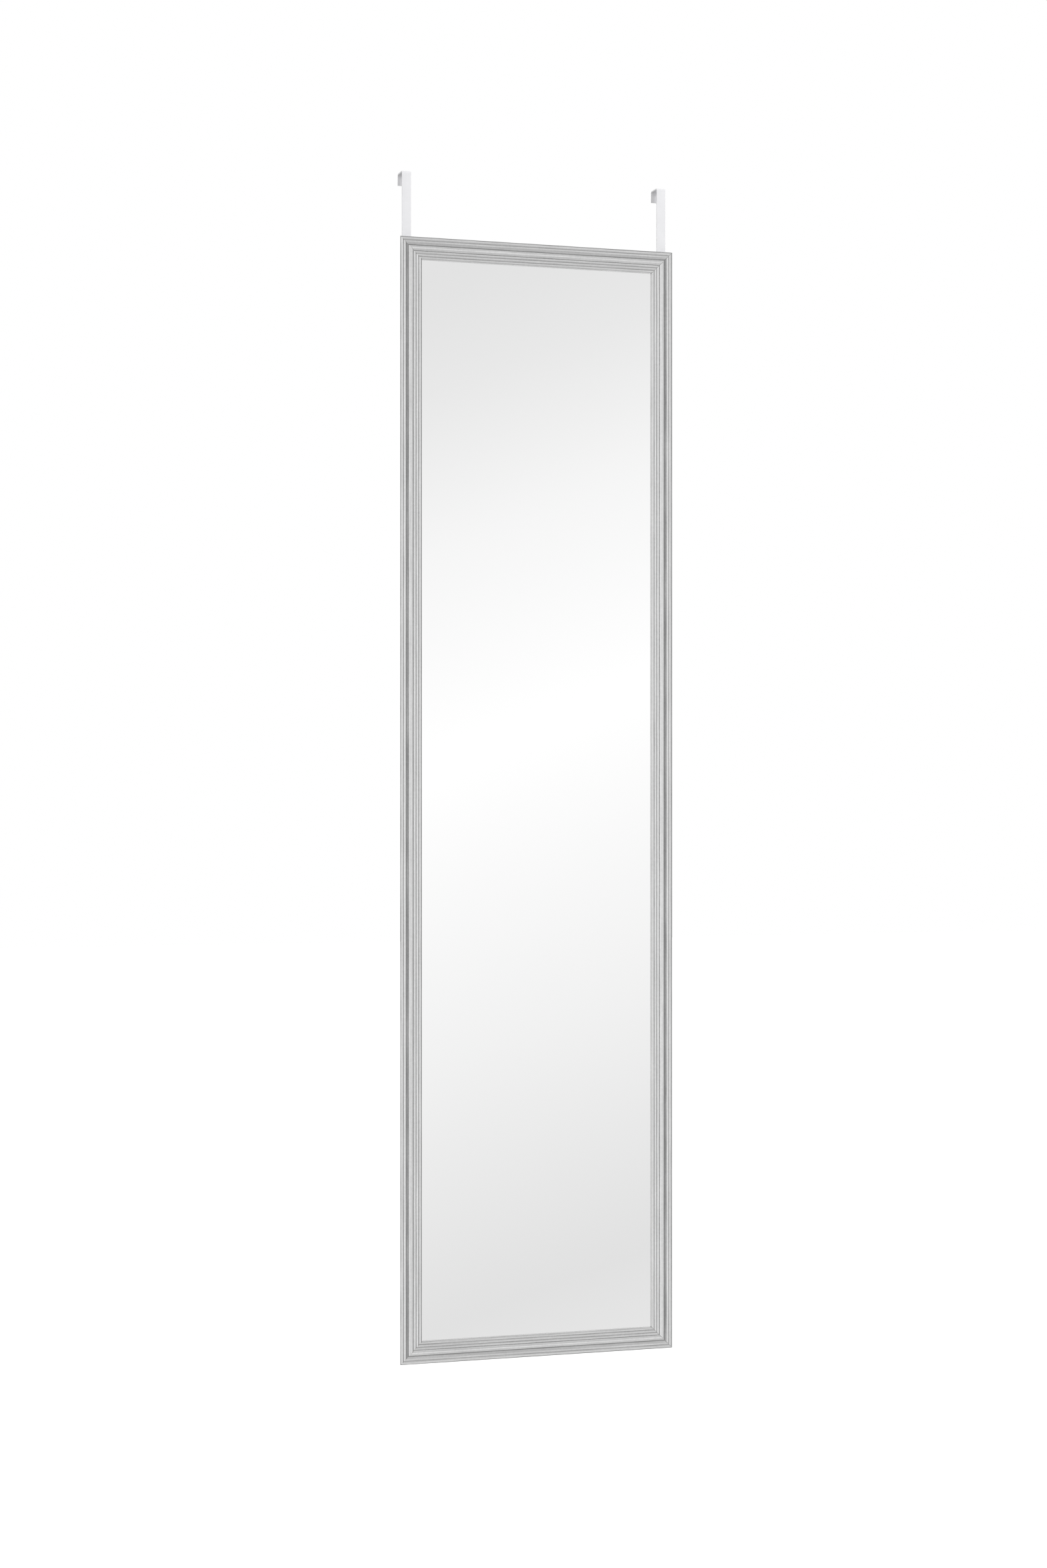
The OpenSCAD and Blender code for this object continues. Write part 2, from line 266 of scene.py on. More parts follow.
def softbox(name, place, size, power):
    """A square area lamp that faces the middle of the mirror. It lights what is painted, and no metal shows
    it."""
    data = bpy.data.lights.new(name, "AREA")
    data.shape = "SQUARE"
    data.size = size
    data.energy = power
    lamp = bpy.data.objects.new(name, data)
    bpy.context.scene.collection.objects.link(lamp)
    lamp.location = place
    target = Vector((0, 0, FRAME_MIDDLE))
    lamp.rotation_euler = (Vector(place) - target).to_track_quat("Z", "Y").to_euler()
    lamp.visible_glossy = False


def studio_floor():
    """A plain pale floor, which no metal shows. It keeps the mirror's shadow, and glows for the camera
    alone."""
    bpy.ops.mesh.primitive_plane_add(size=FLOOR_SIZE, location=(0, 0, -FLOOR_DROP))
    floor = bpy.context.object
    floor.name = "floor"
    floor.visible_glossy = False
    material, tree, _ = new_material("studio_floor_white")
    paint = add(tree, "BsdfDiffuse", {"Color": linear("#b0b0b0")})
    glow = add(tree, "Emission", {"Color": (1, 1, 1, 1), "Strength": 0.9})
    lit = add(tree, "AddShader", {0: paint.outputs[0], 1: glow.outputs[0]})
    seen = add(tree, "LightPath").outputs["Is Camera Ray"]
    mix = add(tree, "MixShader", {0: seen, 1: paint.outputs[0], 2: lit.outputs[0]})
    add(tree, "OutputMaterial", {"Surface": mix.outputs[0]})
    floor.data.materials.append(material)


studio()
softbox("key", (1.2, -3.3, 0.5), 1.2, 40)
studio_floor()


# --------------------------------------------------------------------- materials

def silver_foil():
    """Hot-stamped silver foil on extruded polystyrene, glazed with a grey wash that stays in the hollows,
    deepened with painted shade. The eye sees satin silver with long faint streaks, darker and duller where
    the moulding is hollow."""
    material, tree, place = new_material("silver_foil_hot_stamped")
    # Each length takes its pattern from a place of its own
    own = add(tree, "ObjectInfo").outputs["Location"]
    place = add(tree, "VectorMath", {0: place, 1: own}, operation="ADD").outputs[0]
    # Streaks of the stamping roller: 0.6 mm across and 45 mm along
    drawn = add(tree, "VectorMath", {0: place, 1: (1 / 0.6, 1 / 0.6, 1 / 45)}, operation="MULTIPLY")
    streak = add(tree, "TexNoise", {
        "Vector": drawn.outputs[0], "Scale": 1 / MM, "Detail": 2, "Roughness": 0.5,
    }).outputs[0]
    # Mottling of the foil, 3 mm
    mottle = add(tree, "TexNoise", {"Vector": place, "Scale": 1 / (3 * MM), "Detail": 3}).outputs[0]
    uneven = add(tree, "Math", {0: mottle, 1: 0.35, 2: streak}, operation="MULTIPLY_ADD").outputs[0]
    uneven = add(tree, "MapRange", {"Value": uneven, "From Min": 0.4, "From Max": 0.95}).outputs[0]
    # Clouds in the wash and painted shade, 5 mm across and 40 mm along
    drawn = add(tree, "VectorMath", {0: place, 1: (1 / 5, 1 / 5, 1 / 40)}, operation="MULTIPLY")
    cloud = add(tree, "TexNoise", {"Vector": drawn.outputs[0], "Scale": 1 / MM, "Detail": 3}).outputs[0]
    patchy = add(tree, "MapRange", {
        "Value": cloud, "From Min": 0.3, "From Max": 0.7, "To Min": 0.82, "To Max": 1.12,
    }).outputs[0]
    # The grey wash and painted shade that each point of the moulding holds, from 0 to 1
    hollow = add(tree, "Attribute", attribute_name="hollow").outputs["Fac"]
    wash_and_shade = add(tree, "Math", {0: hollow, 1: patchy}, operation="MULTIPLY", use_clamp=True).outputs[0]
    silver = add(tree, "ValToRGB", {"Fac": uneven}, stops=[(0, linear("#d4d4d4")), (1, linear("#f2f2f2"))])
    grey = add(tree, "ValToRGB", {"Fac": uneven}, stops=[(0, linear("#8e8e8e")), (1, linear("#acacac"))])
    colour = add(tree, "Mix", {
        "Factor": wash_and_shade, "A": silver.outputs[0], "B": grey.outputs[0],
    }, data_type="RGBA").outputs["Result"]
    dull = add(tree, "MapRange", {"Value": wash_and_shade, "To Min": 0.13, "To Max": 0.45}).outputs[0]
    rough = add(tree, "MapRange", {"Value": uneven, "To Min": 0.02, "To Max": -0.02}).outputs[0]
    rough = add(tree, "Math", {0: dull, 1: rough}, operation="ADD").outputs[0]
    bump = add(tree, "Bump", {"Height": streak, "Strength": 0.15, "Distance": 0.01 * MM}).outputs[0]
    shader = add(tree, "BsdfPrincipled", {
        "Base Color": colour, "Metallic": 1.0, "Roughness": rough, "Normal": bump,
    })
    add(tree, "OutputMaterial", {"Surface": shader.outputs[0]})
    return material


def bare_polystyrene():
    """Extruded foamed polystyrene without foil: matt off-white, with fine lines from the die."""
    material, tree, place = new_material("polystyrene_extruded_bare")
    # Lines 0.4 mm apart and 90 mm long
    drawn = add(tree, "VectorMath", {0: place, 1: (1 / 0.4, 1 / 0.4, 1 / 90)}, operation="MULTIPLY")
    line = add(tree, "TexNoise", {"Vector": drawn.outputs[0], "Scale": 1 / MM, "Detail": 2}).outputs[0]
    colour = add(tree, "ValToRGB", {"Fac": line}, stops=[(0.3, linear("#c9c7c1")), (0.7, linear("#dad8d3"))])
    bump = add(tree, "Bump", {"Height": line, "Strength": 0.5, "Distance": 0.05 * MM})
    shader = add(tree, "BsdfPrincipled", {
        "Base Color": colour.outputs[0], "Roughness": 0.55, "IOR": 1.59, "Normal": bump.outputs[0],
    })
    add(tree, "OutputMaterial", {"Surface": shader.outputs[0]})
    return material


def silvered_float_glass():
    """Silvered float glass: a clear, flat mirror. Its back wears grey protective paint."""
    material, tree, place = new_material("silvered_float_glass")
    # A trace of haze, in patches of 120 mm
    haze = add(tree, "TexNoise", {"Vector": place, "Scale": 1 / (120 * MM), "Detail": 3}).outputs[0]
    rough = add(tree, "MapRange", {
        "Value": haze, "From Min": 0.3, "From Max": 0.7, "To Min": 0.0, "To Max": 0.02,
    })
    mirror = add(tree, "BsdfPrincipled", {
        "Base Color": linear("#fefefe"), "Metallic": 1.0, "Roughness": rough.outputs[0],
    })
    # The paint, grained at 1.5 mm, lies on the back and just round its edge
    grain = add(tree, "TexNoise", {"Vector": place, "Scale": 1 / (1.5 * MM), "Detail": 3}).outputs[0]
    coat = add(tree, "ValToRGB", {"Fac": grain}, stops=[(0.3, linear("#6d7276")), (0.7, linear("#7b8084"))])
    paint = add(tree, "BsdfPrincipled", {"Base Color": coat.outputs[0], "Roughness": 0.5})
    depth = add(tree, "SeparateXYZ", {0: place}).outputs["Y"]
    behind = add(tree, "Math", {0: depth, 1: GLASS_HIGH.y - 0.6 * MM}, operation="GREATER_THAN").outputs[0]
    mix = add(tree, "MixShader", {0: behind, 1: mirror.outputs[0], 2: paint.outputs[0]})
    add(tree, "OutputMaterial", {"Surface": mix.outputs[0]})
    return material


def powder_coated_steel():
    """White polyester powder coat on strip steel: satin, with a fine orange peel."""
    material, tree, place = new_material("strip_steel_powder_coated")
    # Orange peel of 1.2 mm, and faint clouds of 15 mm
    peel = add(tree, "TexNoise", {"Vector": place, "Scale": 1 / (1.2 * MM), "Detail": 2}).outputs[0]
    cloud = add(tree, "TexNoise", {"Vector": place, "Scale": 1 / (15 * MM), "Detail": 3}).outputs[0]
    colour = add(tree, "ValToRGB", {"Fac": cloud}, stops=[(0.3, linear("#efeff1")), (0.7, linear("#f4f4f6"))])
    rough = add(tree, "MapRange", {"Value": peel, "To Min": 0.3, "To Max": 0.42})
    bump = add(tree, "Bump", {"Height": peel, "Strength": 0.3, "Distance": 0.03 * MM})
    shader = add(tree, "BsdfPrincipled", {
        "Base Color": colour.outputs[0], "Roughness": rough.outputs[0], "Normal": bump.outputs[0],
    })
    add(tree, "OutputMaterial", {"Surface": shader.outputs[0]})
    return material


def zinc_plated_steel():
    """Bright zinc, plated on pressed and turned steel: a cool grey metal, a little cloudy."""
    material, tree, place = new_material("steel_zinc_plated")
    # Patches of 0.9 mm: the real ones are finer, and are drawn so coarse that they show
    patch = add(tree, "TexVoronoi", {"Vector": place, "Scale": 1 / (0.9 * MM)}).outputs["Color"]
    tone = add(tree, "SeparateColor", {0: patch}).outputs[0]
    colour = add(tree, "ValToRGB", {"Fac": tone}, stops=[(0.0, linear("#aeb1b4")), (1.0, linear("#bdbfc2"))])
    rough = add(tree, "MapRange", {"Value": tone, "To Min": 0.28, "To Max": 0.42})
    shader = add(tree, "BsdfPrincipled", {
        "Base Color": colour.outputs[0], "Metallic": 1.0, "Roughness": rough.outputs[0],
    })
    add(tree, "OutputMaterial", {"Surface": shader.outputs[0]})
    return material


def hardboard():
    """Wet-pressed hardboard, smooth side out: mid brown with short, paler, felted fibres."""
    material, tree, place = new_material("hardboard_pressed")
    # Fibres 0.4 mm across and 3 mm long, felted in both directions
    drawn = add(tree, "VectorMath", {0: place, 1: (1 / 0.4, 1, 1 / 3)}, operation="MULTIPLY").outputs[0]
    crossed = add(tree, "VectorMath", {0: place, 1: (1 / 3, 1, 1 / 0.4)}, operation="MULTIPLY").outputs[0]
    one = add(tree, "TexNoise", {"Vector": drawn, "Scale": 1 / MM, "Detail": 3}).outputs[0]
    other = add(tree, "TexNoise", {"Vector": crossed, "Scale": 1 / MM, "Detail": 3}).outputs[0]
    fibre = add(tree, "Math", {0: one, 1: other}, operation="MAXIMUM").outputs[0]
    # Clouds of 30 mm in the brown
    cloud = add(tree, "TexNoise", {"Vector": place, "Scale": 1 / (30 * MM), "Detail": 4}).outputs[0]
    brown = add(tree, "ValToRGB", {"Fac": cloud}, stops=[(0.3, linear("#6a4a30")), (0.7, linear("#7c583a"))])
    pale = add(tree, "MapRange", {"Value": fibre, "From Min": 0.5, "From Max": 0.75, "To Max": 0.45})
    colour = add(tree, "Mix", {
        "Factor": pale.outputs[0], "A": brown.outputs[0], "B": linear("#9b7a58"),
    }, data_type="RGBA")
    rough = add(tree, "MapRange", {
        "Value": fibre, "From Min": 0.4, "From Max": 0.8, "To Min": 0.45, "To Max": 0.62,
    })
    bump = add(tree, "Bump", {"Height": fibre, "Strength": 0.3, "Distance": 0.05 * MM})
    shader = add(tree, "BsdfPrincipled", {
        "Base Color": colour.outputs["Result"], "Roughness": rough.outputs[0], "Normal": bump.outputs[0],
    })
    add(tree, "OutputMaterial", {"Surface": shader.outputs[0]})
    return material


def polyethylene_foam():
    """Thin white polyethylene foam: matt, with closed cells that show as fine dimples."""
    material, tree, place = new_material("polyethylene_foam_sheet")
    # Cells of 0.8 mm
    cell = add(tree, "TexVoronoi", {"Vector": place, "Scale": 1 / (0.8 * MM)}).outputs["Distance"]
    # Each cell is painted darker towards its edge, where the bump sinks it: painted shade between the cells
    colour = add(tree, "ValToRGB", {"Fac": cell}, stops=[(0.0, linear("#f0f0ec")), (0.7, linear("#dcdcd6"))])
    bump = add(tree, "Bump", {"Height": cell, "Strength": 0.5, "Distance": 0.1 * MM}, invert=True)
    shader = add(tree, "BsdfPrincipled", {
        "Base Color": colour.outputs[0], "Roughness": 0.75, "Normal": bump.outputs[0],
    })
    add(tree, "OutputMaterial", {"Surface": shader.outputs[0]})
    return material


def black_rubber():
    """Moulded black rubber: matt and finely grained, with a painted highlight, a little paler, where the
    grain stands up.
    """
    material, tree, place = new_material("rubber_moulded_black")
    # Grain of 0.35 mm
    grain = add(tree, "TexNoise", {"Vector": place, "Scale": 1 / (0.35 * MM), "Detail": 2}).outputs[0]
    # Paler where the bump stands up: a painted highlight on the grain
    colour = add(tree, "ValToRGB", {"Fac": grain}, stops=[(0.3, linear("#242426")), (0.7, linear("#333336"))])
    rough = add(tree, "MapRange", {"Value": grain, "To Min": 0.6, "To Max": 0.8})
    bump = add(tree, "Bump", {"Height": grain, "Strength": 0.4, "Distance": 0.05 * MM})
    shader = add(tree, "BsdfPrincipled", {
        "Base Color": colour.outputs[0], "Roughness": rough.outputs[0], "Normal": bump.outputs[0],
    })
    add(tree, "OutputMaterial", {"Surface": shader.outputs[0]})
    return material


FOIL = silver_foil()
BARE = bare_polystyrene()
MIRROR = silvered_float_glass()
POWDER = powder_coated_steel()
ZINC = zinc_plated_steel()
BOARD = hardboard()
FOAM = polyethylene_foam()
RUBBER = black_rubber()


# ----------------------------------------------------------------- mesh helpers

def shade(mesh, smooth_below=35):
    """Smooth where two faces meet at less than that angle in degrees, and sharp elsewhere."""
    mesh.shade_smooth()
    mesh.set_sharp_from_angle(angle=math.radians(smooth_below))


def new_object(name, points, faces, materials):
    """A mesh object of these points and faces, with a slot for each material."""
    mesh = bpy.data.meshes.new(name)
    mesh.from_pydata(points, [], faces)
    for material in materials:
        mesh.materials.append(material)
    shade(mesh)
    piece = bpy.data.objects.new(name, mesh)
    bpy.context.scene.collection.objects.link(piece)
    return piece


def stand_for(piece, node):
    """The piece takes the node's place on the one body that the mirror is."""
    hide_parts(node)
    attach(piece, "root")


def skin(count, rings):
    """The faces between rings of points laid one after another, with a cap at each end."""
    faces = []
    for ring in range(rings - 1):
        low, high = ring * count, (ring + 1) * count
        for i in range(count):
            j = (i + 1) % count
            faces.append((low + i, low + j, high + j, high + i))
    last = (rings - 1) * count
    faces.append(tuple(reversed(range(count))))
    faces.append(tuple(range(last, last + count)))
    return faces


def arc_radius(chord, rise):
    """The radius of the arc over a chord that rises, or sinks, by that much in its middle."""
    return ((chord / 2) ** 2 + rise ** 2) / (2 * rise)


def arc(centre, radius, start, end, steps):
    """Points along an arc, from one angle to the other in degrees."""
    angles = [math.radians(start + (end - start) * i / steps) for i in range(steps + 1)]
    return [(centre[0] + radius * math.cos(a), centre[1] + radius * math.sin(a)) for a in angles]


# ---------------------------------------------------------------------- moulding

# A point of the section is a place across from the outer edge, a height above the back, and how much grey
# wash and painted shade it holds.


def reed(centre_u, ground, pitch):
    """A reed from foot to foot. The grey wash and painted shade gather at its feet."""
    half_w = (pitch - REED_GAP) / 2
    points = []
    steps = 16
    for i in range(steps + 1):
        way = 2 * i / steps - 1
        fall = abs(way) ** REED_POWER
        wash_and_shade = REED_WASH_AND_SHADE * fall ** 2.5
        points.append((centre_u + way * half_w, ground + REED_RISE * (1 - fall), wash_and_shade))
    return points


def cove(wash_and_shade):
    """The hollow beside the crest, with the grey wash and painted shade that it holds at its outer and at its
    inner side.
    """
    radius = arc_radius(COVE_W, COVE_DEPTH)
    centre = (COVE_U + COVE_W / 2, GROUND_H - COVE_DEPTH + radius)
    half = math.degrees(math.asin(COVE_W / 2 / radius))
    steps = 12
    points = arc(centre, radius, 270 - half, 270 + half, steps)
    return [(u, v, wash_and_shade[0] + (wash_and_shade[1] - wash_and_shade[0]) * i / steps) for i, (u, v) in enumerate(points)]


def crest():
    """The crest from its leaning shoulder to the groove at its inner foot. It holds a little painted shade
    towards the cove, and none where it falls inwards."""
    points = []
    steps = 20
    for i in range(steps + 1):
        way = i / steps
        rise = math.sin(math.pi * way ** CREST_SKEW)
        u = CREST_U + SHOULDER_LEAN + way * (CREST_W - CREST_GROOVE - SHOULDER_LEAN)
        points.append((u, CREST_H + CREST_DOME * rise, CREST_PAINTED_SHADE * max(0, 1 - 1.6 * way)))
    points.append((INNER_U - CREST_GROOVE, GROUND_H, GROOVE_WASH_AND_SHADE))
    return points


def inner_ground(u):
    """The height of the ground under the inner reeds, which falls towards the lip."""
    return LIP_H + FACE_FALL * (LIP_U - u) / (LIP_U - INNER_U)


def foiled_section(cove_wash_and_shade):
    """The section from the foil's edge on the outer side, over the face, to the back of the lip."""
    edge_u = SIDE_LEAN * (1 - FOIL_EDGE / (GROUND_H - EDGE_BEVEL))
    points = [
        (edge_u, FOIL_EDGE, SIDE_WASH_AND_SHADE[0]),
        (0, GROUND_H - EDGE_BEVEL, SIDE_WASH_AND_SHADE[1]),
        (EDGE_BEVEL, GROUND_H, EDGE_WASH_AND_SHADE),
    ]
    for i in range(OUTER_REEDS):
        points += reed(EDGE_W + (i + 0.5) * OUTER_PITCH, GROUND_H, OUTER_PITCH)
    points += cove(cove_wash_and_shade)
    points += crest()
    points.append((INNER_U, GROUND_H, GROOVE_WASH_AND_SHADE))
    for i in range(INNER_REEDS):
        centre = INNER_U + (i + 0.5) * INNER_PITCH
        points += reed(centre, inner_ground(centre), INNER_PITCH)
    points.append((LIP_U, LIP_H, GROOVE_WASH_AND_SHADE))
    points += [(RAIL_W, LIP_H, LIP_WASH_AND_SHADE[0]), (RAIL_W, RABBET_D, LIP_WASH_AND_SHADE[1])]
    return points


def bare_section():
    """The rest of the section: the rabbet, the back and the foot of the outer side."""
    rabbet_u = RAIL_W - RABBET_W
    return [(rabbet_u, RABBET_D, 0), (rabbet_u, NAIL_PROUD, 0), (SIDE_LEAN, NAIL_PROUD, 0)]


def softened(points, radius):
    """The closed section with each sharp corner cut to a small round of three points. A point that lies on
    the one before it is left out."""
    same = 1e-7
    soft = []
    for i, point in enumerate(points):
        before, here, after = (Vector(points[j % len(points)][:2]) for j in (i - 1, i, i + 1))
        arrive, leave = here - before, after - here
        if arrive.length < same:
            continue
        turn = abs(arrive.angle_signed(leave)) if leave.length > same else 0
        if turn < SHARP_TURN:
            soft.append(point)
            continue
        back = min(radius, 0.4 * arrive.length, 0.4 * leave.length)
        start, end = here - arrive.normalized() * back, here + leave.normalized() * back
        middle = (start + end) / 4 + here / 2
        soft += [(*place, point[2]) for place in (start, middle, end)]
    return soft


def inward_normals(points):
    """The unit normal at each point of the closed section, into the moulding."""
    normals = []
    for i in range(len(points)):
        before, after = Vector(points[i - 1][:2]), Vector(points[(i + 1) % len(points)][:2])
        along = (after - before).normalized()
        normals.append(Vector((along.y, -along.x)))
    return normals


def is_bare(corners):
    """Whether a face of the moulding lies on its back, in its rabbet or below the foil's edge."""
    rabbet_u = RAIL_W - RABBET_W
    near = 0.3 * MM   # more than a softened corner reaches
    if all(v < FOIL_EDGE + ON_EDGE for u, v, _ in corners):
        return True
    in_rabbet = all(v < RABBET_D + near and u > rabbet_u - near for u, v, _ in corners)
    return in_rabbet and any(v < RABBET_D - ON_EDGE or u < RAIL_W - near for u, v, _ in corners)


def on_side(across, turn):
    """Takes what is drawn for the left side, with the frame's outer edge at X = 0, to a side of the frame."""
    return (
        Matrix.Translation((0, 0, FRAME_MIDDLE))
        @ Matrix.Rotation(math.radians(turn), 4, "Y")
        @ Matrix.Translation((-across / 2, 0, 0))
    )


def moulding(node, length, across, turn, cove_wash_and_shade):
    """One mitred length, drawn upright with its outer edge at X = 0 and turned about Y into place. Its cove
    holds that much grey wash and painted shade at its outer and at its inner side."""
    section = softened(foiled_section(cove_wash_and_shade) + bare_section(), FOIL_ROUND)
    normals = inward_normals(section)
    count = len(section)
    # Rings from one mitre to the other: how far each is set back from its mitre, and how much it is shrunk.
    # The last of each end parts it from the plain middle.
    ends = [(MITRE_GAP, MITRE_CHAMFER), (MITRE_GAP + MITRE_CHAMFER, 0), (length / 12, 0)]
    rings = [(-1, *end) for end in ends] + [(1, *end) for end in reversed(ends)]
    points = []
    for side, setback, shrink in rings:
        for (u, v, _), normal in zip(section, normals):
            inset = Vector((u, v)) + normal * shrink
            points.append((inset.x, FRAME_BACK - inset.y, side * (length / 2 - u - setback)))
    piece = new_object(node + "_moulding", points, skin(count, len(rings)), [FOIL, BARE])
    mesh = piece.data
    hollow = mesh.attributes.new("hollow", "FLOAT", "POINT")
    hollow.data.foreach_set("value", [point[2] for point in section] * len(rings))
    for face in mesh.polygons:
        corners = [section[v % count] for v in face.vertices]
        face.material_index = int(is_sawn(face) or is_bare(corners))
    map_for_baking(mesh, section, length)
    piece.matrix_world = on_side(across, turn)
    stand_for(piece, node)


def is_sawn(face):
    """Whether a face of the moulding is one of its mitred ends. Those have many corners, and all others
    have four."""
    return len(face.vertices) > 4


def map_for_baking(mesh, section, length):
    """A map for baked pictures: round the section one way and along the length the other, with the sawn ends
    in strips of their own."""
    margin, long_u, long_v = 0.02, 0.9, 0.96
    strip_w, strip_us = 0.02, (0.94, 0.97)
    count = len(section)
    around = [0]
    for one, two in zip(section, section[1:] + section[:1]):
        around.append(around[-1] + (Vector(one[:2]) - Vector(two[:2])).length)
    layer = mesh.uv_layers.new(name="OFBake")
    for face in mesh.polygons:
        closes = {v % count for v in face.vertices} == {0, count - 1}
        for loop in face.loop_indices:
            vertex = mesh.loops[loop].vertex_index
            i = vertex % count
            if is_sawn(face):
                u, v, _ = section[i]
                strip = strip_us[0 if vertex < count else 1]
                layer.data[loop].uv = (strip + strip_w * u / RAIL_W, margin + long_u * v / CREST_TOP)
                continue
            distance = around[count] if closes and i == 0 else around[i]
            along = mesh.vertices[vertex].co.z / length + 0.5
            layer.data[loop].uv = (margin + long_u * distance / around[count], margin + long_v * along)


moulding("left_stile", FRAME_H, FRAME_W, 0, STILE_COVE_WASH_AND_SHADE)
moulding("top_rail", FRAME_W, FRAME_H, 90, RAIL_COVE_WASH_AND_SHADE)
moulding("right_stile", FRAME_H, FRAME_W, 180, STILE_COVE_WASH_AND_SHADE)
moulding("bottom_rail", FRAME_W, FRAME_H, 270, RAIL_COVE_WASH_AND_SHADE)


# -------------------------------------------------------------- retaining points

def retaining_point():
    """Rings of points round a pressed point, from its tip in the wall of the rabbet to its free end over the
    board. It is drawn along X, with its middle at Z = 0."""
    soft = POINT_SOFT
    tip = RAIL_W - RABBET_W - POINT_BITE
    rings = []
    steps = 20
    for i in range(steps + 1):
        way = i / steps
        x = POINT_LEN * way
        half_w = min(POINT_W / 2, max(soft, x)) - soft
        lift = POINT_LIFT * (max(0, way - BEND_FROM) / (1 - BEND_FROM)) ** 2
        rib = RIB_H * math.sin(math.pi * max(0, way - RIB_FROM) / (1 - RIB_FROM)) ** 2
        ring = arc((half_w, soft), soft, -90, 0, 3) + arc((half_w, POINT_T - soft), soft, 0, 90, 3)
        for step in range(9):
            side = 1 - step / 4
            across = RIB_W / 2 * side
            if abs(across) < half_w:
                ring.append((across, POINT_T + rib * math.cos(math.pi / 2 * side) ** 2))
            else:
                ring.append((math.copysign(half_w, across), POINT_T))
        ring += arc((-half_w, POINT_T - soft), soft, 90, 180, 3) + arc((-half_w, soft), soft, 180, 270, 3)
        rings.append([(tip + x, BOARD_BACK + out + lift, across) for across, out in ring])
    return rings


def point_row(node, count, length, across, turn):
    """The points along one side, shared out evenly over the opening."""
    rings = retaining_point()
    opening = length - 2 * RAIL_W
    points, faces = [], []
    for i in range(count):
        first = len(points)
        middle = opening * ((i + 0.5) / count - 0.5)
        points += [(x, y, z + middle) for ring in rings for x, y, z in ring]
        faces += [tuple(first + v for v in face) for face in skin(len(rings[0]), len(rings))]
    piece = new_object(node + "_pressed", points, faces, [ZINC])
    piece.matrix_world = on_side(across, turn)
    stand_for(piece, node)


point_row("left_points", SIDE_POINTS, FRAME_H, FRAME_W, 0)
point_row("top_points", END_POINTS, FRAME_W, FRAME_H, 90)
point_row("right_points", SIDE_POINTS, FRAME_H, FRAME_W, 180)
point_row("bottom_points", END_POINTS, FRAME_W, FRAME_H, 270)


# ------------------------------------------------------------------------- hooks

LEG_END = STRAP_T - LEG_H


def hook_path():
    """The middle of the strip from the side, as y and z: up the door's face, over its top edge and down its
    back. The places crowd where its ends are rounded."""
    half = STRAP_T / 2
    bend = BEND_R + half
    quarter = math.pi / 2
    path = [(-half, STRAP_LOW.z + STRAP_ROUND * (1 - math.cos(quarter * i / 6))) for i in range(7)]
    path += arc((BEND_R, -BEND_R), bend, 180, 90, 8)
    path += arc((DOOR_GAP - BEND_R, -BEND_R), bend, 90, 0, 8)
    for i in range(4):
        path.append((DOOR_GAP + half, LEG_END + STRAP_EDGE_ROUND * (1 - math.sin(quarter * i / 3))))
    return [Vector(place) for place in path]


def eased(half, radius, distance):
    """The half size of something with rounded corners, at that distance from its end."""
    inside = max(0, radius - distance)
    return half - radius + math.sqrt(radius ** 2 - inside ** 2)


def hook(node, x):
    """A hook bent from strip, with the mill's soft edges, rounded lower corners and two countersunk holes."""
    path = hook_path()
    soft = STRAP_EDGE_ROUND
    corner_steps = 3
    points = []
    for i, middle in enumerate(path):
        along = (path[min(i + 1, len(path) - 1)] - path[max(i - 1, 0)]).normalized()
        normal = Vector((-along.y, along.x))
        on_leg = middle.x > DOOR_GAP
        distance = middle.y - (LEG_END if on_leg else STRAP_LOW.z)
        half_w = eased(STRAP_W / 2, soft if on_leg else STRAP_ROUND, distance) - soft
        half_t = eased(STRAP_T / 2, soft, distance) - soft
        for sx, sn, start in ((1, 1, 0), (-1, 1, 90), (-1, -1, 180), (1, -1, 270)):
            for across, out in arc((sx * half_w, sn * half_t), soft, start, start + 90, corner_steps):
                place = middle + normal * out
                points.append((x + across, place.x, place.y))
    round_strip = 4 * (corner_steps + 1)
    piece = new_object(node + "_strip", points, skin(round_strip, len(path)), [POWDER])
    for i in range(SCREWS):
        z = SCREWS_HIGH.z - HEAD_D / 2 - i * SCREW_PITCH
        cut(piece, countersink(x, z))
    shade(piece.data)
    stand_for(piece, node)


def turned(name, profile, materials, segments=48):
    """A piece turned about the Y axis. Each point of the profile is a radius and a place along Y."""
    points = []
    for radius, y in profile:
        for i in range(segments):
            angle = 2 * math.pi * i / segments
            points.append((radius * math.cos(angle), y, -radius * math.sin(angle)))
    return new_object(name, points, skin(segments, len(profile)), materials)


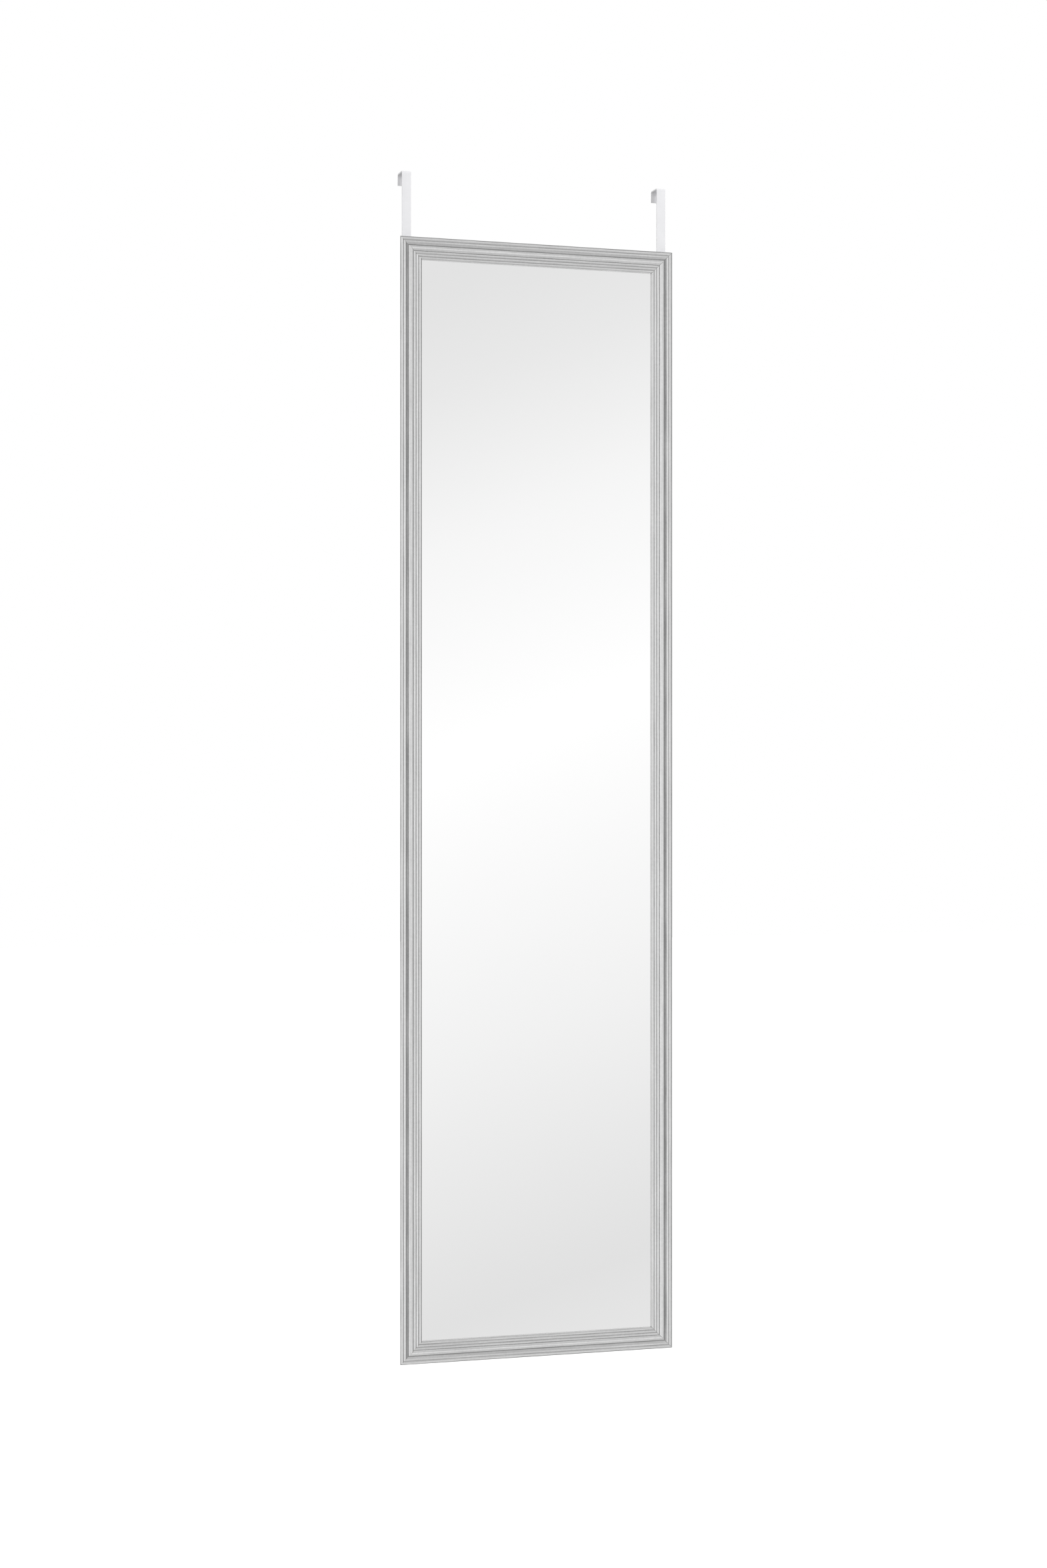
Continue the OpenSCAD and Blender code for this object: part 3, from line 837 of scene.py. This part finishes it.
def countersink(x, z):
    """A cutter for one screw hole: a cone from the door's side, and a straight hole through the strip."""
    shank = SCREW_D / 2 + SCREW_CLEAR
    head = HEAD_D / 2 + SCREW_CLEAR
    slope = (head - shank) / HEAD_H
    spare = 0.5 * MM
    cutter = turned("countersink", [
        (shank, -STRAP_T - spare), (shank, -HEAD_H), (head + slope * spare, spare),
    ], [POWDER])
    cutter.location = (x, 0, z)
    return cutter


def cut(piece, cutter):
    """Takes the cutter's shape out of the piece, and the cutter out of the scene."""
    modifier = piece.modifiers.new("cut", "BOOLEAN")
    modifier.object = cutter
    modifier.solver = "EXACT"
    bpy.context.view_layer.update()
    depsgraph = bpy.context.evaluated_depsgraph_get()
    mesh = bpy.data.meshes.new_from_object(piece.evaluated_get(depsgraph))
    piece.modifiers.clear()
    piece.data = mesh
    bpy.data.objects.remove(cutter)


hook("left_hanger", -STRAP_X)
hook("right_hanger", STRAP_X)


# ---------------------------------------------------------------------- bumpers

def bumper(node, x):
    """A moulded rubber pad with a soft rim and a slightly dished face, closed by a small flat cap."""
    radius = (BUMPER_HIGH.x - BUMPER_LOW.x) / 2
    height = BUMPER_HIGH.y - BUMPER_LOW.y
    cap = 0.05 * MM
    profile = [(radius - PAD_FOOT, 0), (radius, PAD_FOOT)]
    profile += arc((radius - RIM_ROUND, height - RIM_ROUND), RIM_ROUND, 0, 90, 6)
    profile.append((radius - 2 * RIM_ROUND, height - PAD_DISH / 2))
    profile += [(0.6 * radius, height - PAD_DISH), (cap, height - PAD_DISH)]
    piece = turned(node + "_pad", [(r, FRAME_BACK + y) for r, y in profile], [RUBBER])
    for vertex in piece.data.vertices:
        vertex.co.x += x
        vertex.co.z += (BUMPER_LOW.z + BUMPER_HIGH.z) / 2
    stand_for(piece, node)


bumper("left_bumper", -STRAP_X)
bumper("right_bumper", STRAP_X)


# ------------------------------------------------------------- frame's own nodes

def dress(material, *names):
    """Gives that material to every slot of these nodes."""
    for name in names:
        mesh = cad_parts[name].data
        if not mesh.materials:
            mesh.materials.append(material)
        for i in range(len(mesh.materials)):
            mesh.materials[i] = material


dress(MIRROR, "mirror_glass")
dress(FOAM, "foam_sheet")
dress(BOARD, "backing_board")
dress(ZINC, *(corner + "_nails" for corner in ("top_left", "top_right", "bottom_left", "bottom_right")))
dress(ZINC, "left_hanger_screws", "right_hanger_screws")
